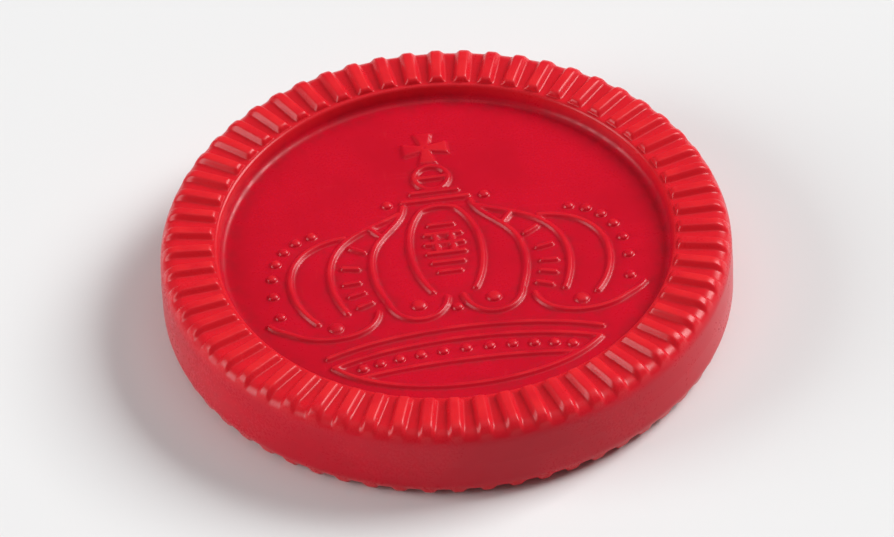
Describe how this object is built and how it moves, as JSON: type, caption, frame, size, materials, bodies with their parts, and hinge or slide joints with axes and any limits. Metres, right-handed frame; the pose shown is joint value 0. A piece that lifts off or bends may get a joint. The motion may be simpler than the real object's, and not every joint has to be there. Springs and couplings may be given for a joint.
{
  "type": "checkers piece",
  "caption": "Flat round playing piece with a ribbed rim and a crown in low relief on each recessed face; it slides over a board and interlocks when stacked.",
  "frame": {"origin": "on the disc's axis, in the plane of the lower rib crests, which is the surface the piece rests on", "axes": "+Z along the disc's axis, up out of the upper face; +Y towards the cross of the upper face's crown; the gate scar is at +Y"},
  "size_m": [0.0318, 0.0318, 0.0052],
  "materials": {
    "red_plastic": "satin-gloss moulded polystyrene"
  },
  "bodies": {
    "root": {"checker": "red_plastic"}
  },
  "joints": []
}
